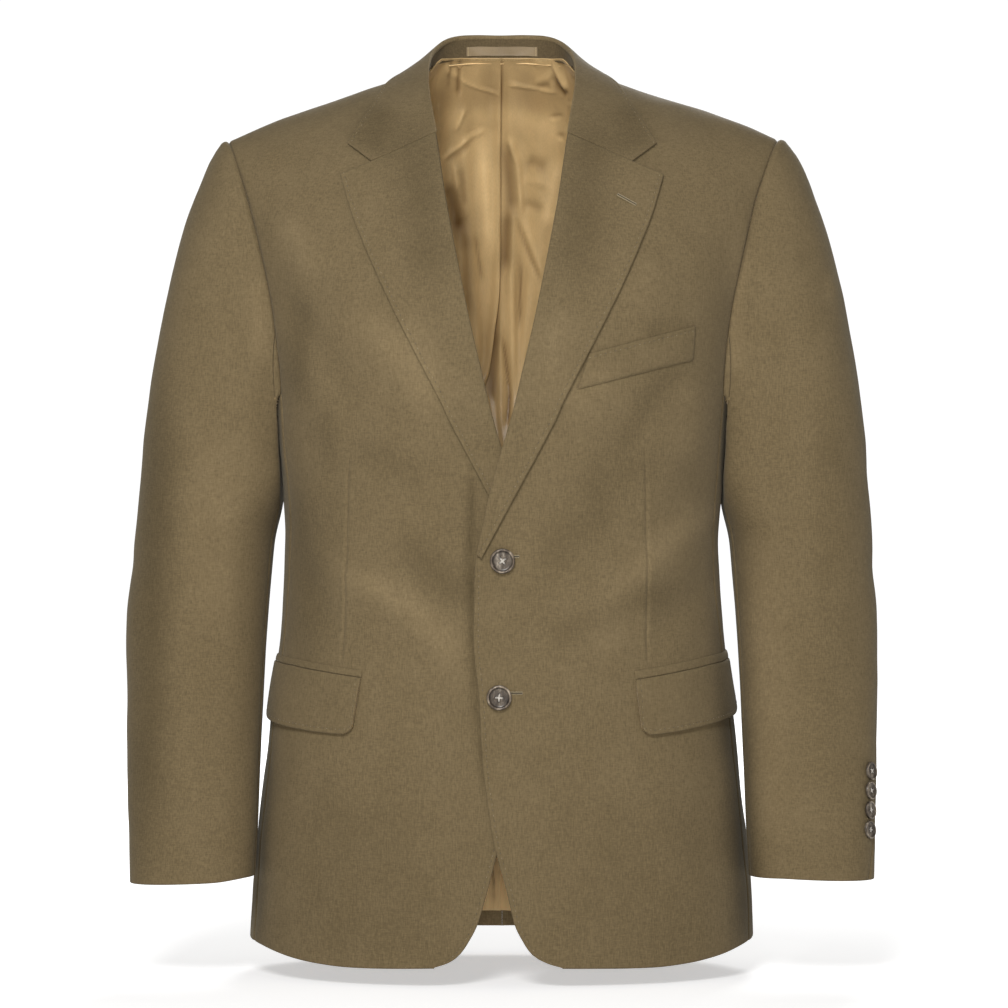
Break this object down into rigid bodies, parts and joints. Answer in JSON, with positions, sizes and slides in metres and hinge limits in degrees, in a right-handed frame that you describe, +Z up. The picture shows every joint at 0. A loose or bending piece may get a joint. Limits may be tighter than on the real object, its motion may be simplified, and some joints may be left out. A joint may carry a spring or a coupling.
{
  "type": "suit jacket",
  "caption": "Single-breasted suit jacket with notch lapels, flapped hip pockets, a welt breast pocket and a satin back lining, filled out as worn.",
  "frame": {"origin": "midway between the two neck points, in the shoulder plane, at the height where the jacket rests on a wearer's shoulders; the wearer holds it there", "axes": "+Z up, -Y the way the wearer faces, +X to the wearer's left"},
  "size_m": [0.6291, 0.2871, 0.7793],
  "materials": {
    "cloth": "brushed fine twill wool, matt, olive brown",
    "satin": "glossy gold satin lining",
    "tape": "bare woven satin tape",
    "horn": "marbled dark grey brown horn look, polished rim"
  },
  "bodies": {
    "root": {"front_left": "cloth", "front_right": "cloth", "side_left": "cloth", "side_right": "cloth", "back_left": "cloth", "back_right": "cloth", "top_sleeve_left": "cloth", "top_sleeve_right": "cloth", "under_sleeve_left": "cloth", "under_sleeve_right": "cloth", "lapel_left": "cloth", "lapel_right": "cloth", "collar_fall": "cloth", "collar_stand": "cloth", "welt_pocket": "cloth", "flap_left": "cloth", "flap_right": "cloth", "jet_left": "cloth", "jet_right": "cloth", "lining_left": "satin", "lining_right": "satin", "neck_tape": "tape", "front_button_1": "horn", "front_button_2": "horn", "cuff_button_left_1": "horn", "cuff_button_left_2": "horn", "cuff_button_left_3": "horn", "cuff_button_left_4": "horn", "cuff_button_right_1": "horn", "cuff_button_right_2": "horn", "cuff_button_right_3": "horn", "cuff_button_right_4": "horn"}
  },
  "joints": []
}
